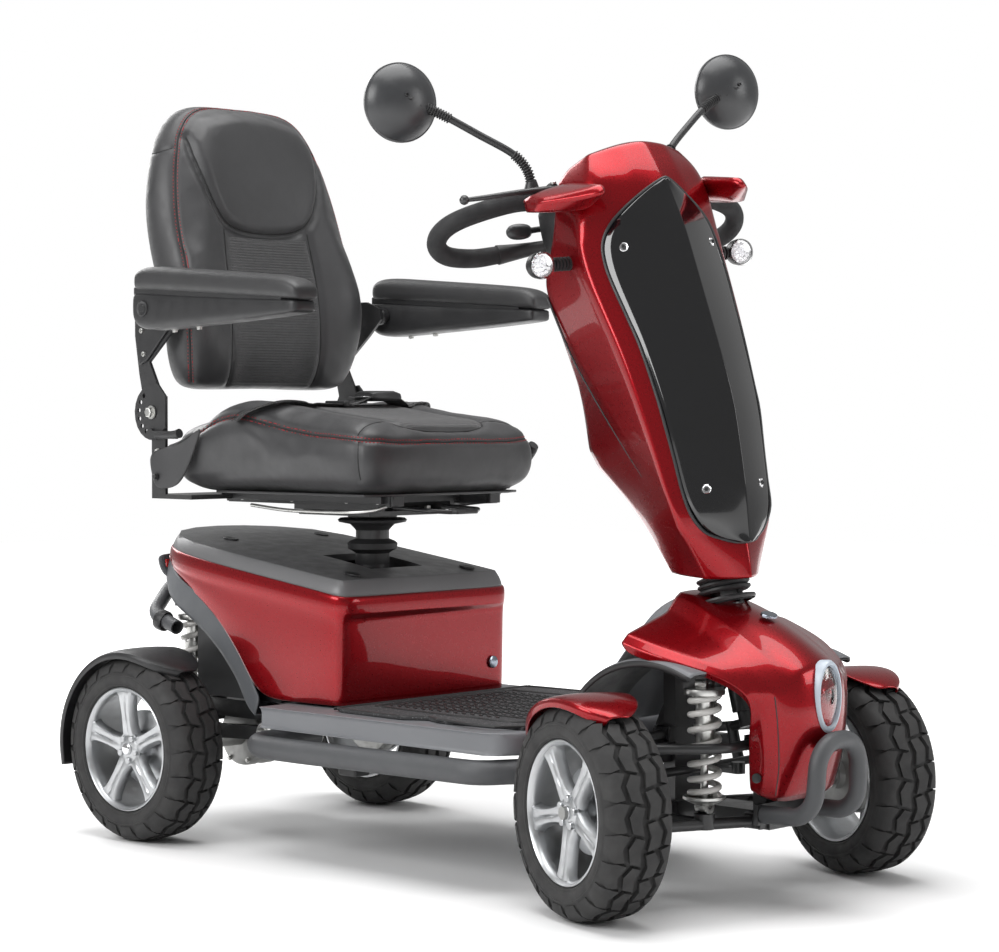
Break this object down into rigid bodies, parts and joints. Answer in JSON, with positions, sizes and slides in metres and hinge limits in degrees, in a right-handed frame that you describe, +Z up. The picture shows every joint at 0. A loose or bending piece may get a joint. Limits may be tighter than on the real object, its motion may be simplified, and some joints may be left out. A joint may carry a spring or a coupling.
{
  "type": "mobility scooter",
  "caption": "Four-wheeled ride-on mobility scooter with a padded captain's seat, tiller steering, wing mirrors, footwell and independent suspension.",
  "frame": {"origin": "on the ground, midway between the front and rear axles, on the centre line", "axes": "+X forward, +Y to the rider's left, +Z up"},
  "size_m": [1.495, 0.817, 1.3831],
  "materials": {
    "black_steel": "satin",
    "knuckle_steel": "satin",
    "red_shell": "gloss",
    "black_shell": "satin",
    "grey_trim": "satin",
    "deck_plastic": "satin",
    "panel_gloss": "gloss",
    "mat_rubber": "matte",
    "bellows_rubber": "matte",
    "grip_foam": "matte",
    "lamp_lens": "gloss",
    "battery_case": "matte",
    "spring_steel": "satin",
    "cast_alloy": "satin",
    "rim_alloy": "satin",
    "tyre_rubber": "matte",
    "seat_leather": "satin",
    "arm_pad": "matte",
    "belt_webbing": "matte",
    "button_red": "gloss",
    "control_plastic": "matte",
    "mirror_shell": "satin"
  },
  "bodies": {
    "root": {"chassis_frame": "black_steel", "outer_tubes": "black_steel", "front_cowl": "red_shell", "arch_liners": "black_shell", "headlight": "lamp_lens", "floor_tray": "grey_trim", "floor_mat": "mat_rubber", "rear_shell": "red_shell", "deck_cover": "deck_plastic", "rear_arch_trims": "grey_trim", "battery_pack": "battery_case", "rear_shocks": "spring_steel", "front_shock_right": "spring_steel", "front_shock_left": "spring_steel"},
    "column": {"steering_column": "black_steel", "tiller_bellows": "bellows_rubber"},
    "track_rod": {"track_rod": "black_steel"},
    "tiller": {"tiller_core": "control_plastic", "tiller_cover": "red_shell", "tiller_panel": "panel_gloss", "handlebar": "grip_foam", "indicator_lamps": "lamp_lens"},
    "wigwag_lever": {"wigwag_lever": "control_plastic"},
    "brake_lever": {"brake_lever": "black_steel"},
    "speed_dial": {"speed_dial": "control_plastic"},
    "mirror_right": {"mirror_right": "mirror_shell"},
    "mirror_left": {"mirror_left": "mirror_shell"},
    "seat_swivel": {"seat_swivel": "black_steel"},
    "swivel_lever": {"swivel_lever": "black_steel"},
    "seat": {"seat_frame": "black_steel", "seat_cushion": "seat_leather", "lap_belt": "belt_webbing"},
    "slide_lever": {"slide_lever": "black_steel"},
    "buckle_button": {"buckle_button": "button_red"},
    "recline_lever": {"recline_lever": "black_steel"},
    "backrest": {"back_frame": "black_steel", "back_cushion": "seat_leather"},
    "armrest_right": {"armrest_right": "arm_pad"},
    "armrest_left": {"armrest_left": "arm_pad"},
    "swing_arm": {"swing_arm": "black_steel", "transaxle": "cast_alloy", "rear_mudguards": "black_shell"},
    "lower_arm_right": {"lower_arm_right": "black_steel"},
    "upper_arm_right": {"upper_arm_right": "black_steel"},
    "upright_right": {"upright_right": "black_steel"},
    "knuckle_right": {"knuckle_right": "knuckle_steel", "front_fender_right": "red_shell"},
    "front_wheel_right": {"front_rim_right": "rim_alloy", "front_tyre_right": "tyre_rubber"},
    "rear_wheel_right": {"rear_rim_right": "rim_alloy", "rear_tyre_right": "tyre_rubber"},
    "lower_arm_left": {"lower_arm_left": "black_steel"},
    "upper_arm_left": {"upper_arm_left": "black_steel"},
    "upright_left": {"upright_left": "black_steel"},
    "knuckle_left": {"knuckle_left": "knuckle_steel", "front_fender_left": "red_shell"},
    "front_wheel_left": {"front_rim_left": "rim_alloy", "front_tyre_left": "tyre_rubber"},
    "rear_wheel_left": {"rear_rim_left": "rim_alloy", "rear_tyre_left": "tyre_rubber"}
  },
  "joints": [
    {"name": "steering", "type": "hinge", "parent": "root", "child": "column", "pos_m": [0.535, 0, 0.48], "axis": [-0.2588, 0, 0.9659], "range_deg": [-13, 51]},
    {"name": "track_rod_link", "type": "hinge", "parent": "column", "child": "track_rod", "pos_m": [0.53404, 0.01953, 0.2644], "axis": [-0.2588, 0, 0.9659], "range_deg": [-51, 13]},
    {"name": "tiller_tilt", "type": "hinge", "parent": "column", "child": "tiller", "pos_m": [0.535, 0, 0.48], "axis": [-0.3145, -0.9455, -0.0843], "range_deg": [-15, 5], "deforming": ["tiller_bellows"]},
    {"name": "speed_lever", "type": "hinge", "parent": "tiller", "child": "wigwag_lever", "pos_m": [0.19756, 0.05915, 1.07556], "axis": [-0.0136, -0.0843, 0.9964], "range_deg": [-12, 12], "stiffness_Nm_per_rad": 1.2},
    {"name": "hand_brake", "type": "hinge", "parent": "tiller", "child": "brake_lever", "pos_m": [0.22413, -0.06003, 1.12707], "axis": [0.0136, 0.0843, -0.9964], "range_deg": [0, 9], "stiffness_Nm_per_rad": 1.5, "springref_deg": -11.46},
    {"name": "speed_knob", "type": "hinge", "parent": "tiller", "child": "speed_dial", "pos_m": [0.22687, 0.09551, 1.10413], "axis": [-0.9492, 0.3145, 0.0136], "range_deg": [-135, 135]},
    {"name": "mirror_right_turn", "type": "hinge", "parent": "tiller", "child": "mirror_right", "pos_m": [0.1945, -0.07925, 1.12102], "axis": [-0.0136, -0.0843, 0.9964], "range_deg": [-25, 25]},
    {"name": "mirror_left_turn", "type": "hinge", "parent": "tiller", "child": "mirror_left", "pos_m": [0.275, 0.1628, 1.1426], "axis": [-0.0136, -0.0843, 0.9964], "range_deg": [-25, 25]},
    {"name": "seat_turn", "type": "hinge", "parent": "root", "child": "seat_swivel", "pos_m": [-0.265, 0, 0.5], "axis": [0, 0, 1], "range_deg": [-90, 90]},
    {"name": "swivel_release", "type": "hinge", "parent": "seat_swivel", "child": "swivel_lever", "pos_m": [-0.262, 0.1, 0.593], "axis": [0, -1, 0], "range_deg": [0, 10], "stiffness_Nm_per_rad": 3, "springref_deg": -14.32},
    {"name": "seat_slide", "type": "slide", "parent": "seat_swivel", "child": "seat", "axis": [1, 0, 0], "range_m": [-0.06, 0.055]},
    {"name": "slide_release", "type": "hinge", "parent": "seat", "child": "slide_lever", "pos_m": [-0.15, 0, 0.596], "axis": [0, -1, 0], "range_deg": [0, 8], "stiffness_Nm_per_rad": 1.5, "springref_deg": -14.32},
    {"name": "buckle_press", "type": "slide", "parent": "seat", "child": "buckle_button", "axis": [0, 0, -1], "range_m": [0, 0.0015], "stiffness_N_per_m": 600, "springref_m": -0.002},
    {"name": "recline_release", "type": "hinge", "parent": "seat", "child": "recline_lever", "pos_m": [-0.574, -0.254, 0.722], "axis": [0, -1, 0], "range_deg": [0, 22], "stiffness_Nm_per_rad": 0.8, "springref_deg": -17.19},
    {"name": "backrest_recline", "type": "hinge", "parent": "seat", "child": "backrest", "pos_m": [-0.574, 0, 0.761], "axis": [0, -1, 0], "range_deg": [-45, 18]},
    {"name": "armrest_right_lift", "type": "hinge", "parent": "backrest", "child": "armrest_right", "pos_m": [-0.505, -0.292, 0.944], "axis": [0, 1, 0], "range_deg": [-80, 0]},
    {"name": "armrest_left_lift", "type": "hinge", "parent": "backrest", "child": "armrest_left", "pos_m": [-0.505, 0.292, 0.944], "axis": [0, 1, 0], "range_deg": [-80, 0]},
    {"name": "front_suspension_right", "type": "hinge", "parent": "root", "child": "lower_arm_right", "pos_m": [0.54, -0.048, 0.132], "axis": [-1, 0, 0], "range_deg": [0, 9], "stiffness_Nm_per_rad": 231, "springref_deg": -12.02, "deforming": ["front_shock_right"]},
    {"name": "upper_arm_right_pivot", "type": "hinge", "parent": "root", "child": "upper_arm_right", "pos_m": [0.54, -0.048, 0.252], "axis": [-1, 0, 0], "range_deg": [0, 9]},
    {"name": "upright_right_pivot", "type": "hinge", "parent": "lower_arm_right", "child": "upright_right", "pos_m": [0.545, -0.232, 0.132], "axis": [-1, 0, 0], "range_deg": [-9, 0]},
    {"name": "kingpin_right", "type": "hinge", "parent": "upright_right", "child": "knuckle_right", "pos_m": [0.545, -0.232, 0.165], "axis": [0, 0, 1], "range_deg": [-13, 51]},
    {"name": "front_wheel_right_spin", "type": "hinge", "parent": "knuckle_right", "child": "front_wheel_right", "pos_m": [0.52009, -0.30433, 0.165], "axis": [0.3256, 0.9455, 0], "continuous": true},
    {"name": "front_suspension_left", "type": "hinge", "parent": "root", "child": "lower_arm_left", "pos_m": [0.54, 0.048, 0.132], "axis": [1, 0, 0], "range_deg": [0, 9], "stiffness_Nm_per_rad": 231, "springref_deg": -12.02, "deforming": ["front_shock_left"]},
    {"name": "upper_arm_left_pivot", "type": "hinge", "parent": "root", "child": "upper_arm_left", "pos_m": [0.54, 0.048, 0.252], "axis": [1, 0, 0], "range_deg": [0, 9]},
    {"name": "upright_left_pivot", "type": "hinge", "parent": "lower_arm_left", "child": "upright_left", "pos_m": [0.545, 0.232, 0.132], "axis": [1, 0, 0], "range_deg": [-9, 0]},
    {"name": "kingpin_left", "type": "hinge", "parent": "upright_left", "child": "knuckle_left", "pos_m": [0.545, 0.232, 0.165], "axis": [0, 0, 1], "range_deg": [-13, 51]},
    {"name": "front_wheel_left_spin", "type": "hinge", "parent": "knuckle_left", "child": "front_wheel_left", "pos_m": [0.56991, 0.30433, 0.165], "axis": [0.3256, 0.9455, 0], "continuous": true},
    {"name": "rear_suspension", "type": "hinge", "parent": "root", "child": "swing_arm", "pos_m": [-0.349, 0, 0.194], "axis": [0, 1, 0], "range_deg": [0, 6], "stiffness_Nm_per_rad": 1204, "springref_deg": -8, "deforming": ["rear_shocks"]},
    {"name": "rear_wheel_right_spin", "type": "hinge", "parent": "swing_arm", "child": "rear_wheel_right", "pos_m": [-0.545, -0.292, 0.165], "axis": [0, 1, 0], "continuous": true},
    {"name": "rear_wheel_left_spin", "type": "hinge", "parent": "swing_arm", "child": "rear_wheel_left", "pos_m": [-0.545, 0.292, 0.165], "axis": [0, 1, 0], "continuous": true}
  ],
  "couplings": [
    {"joint": "track_rod_link", "follows": "steering", "ratio": -1},
    {"joint": "kingpin_right", "follows": "steering", "ratio": 1},
    {"joint": "upper_arm_right_pivot", "follows": "front_suspension_right", "ratio": 1},
    {"joint": "upright_right_pivot", "follows": "front_suspension_right", "ratio": -1},
    {"joint": "kingpin_left", "follows": "steering", "ratio": 1},
    {"joint": "upper_arm_left_pivot", "follows": "front_suspension_left", "ratio": 1},
    {"joint": "upright_left_pivot", "follows": "front_suspension_left", "ratio": -1}
  ]
}
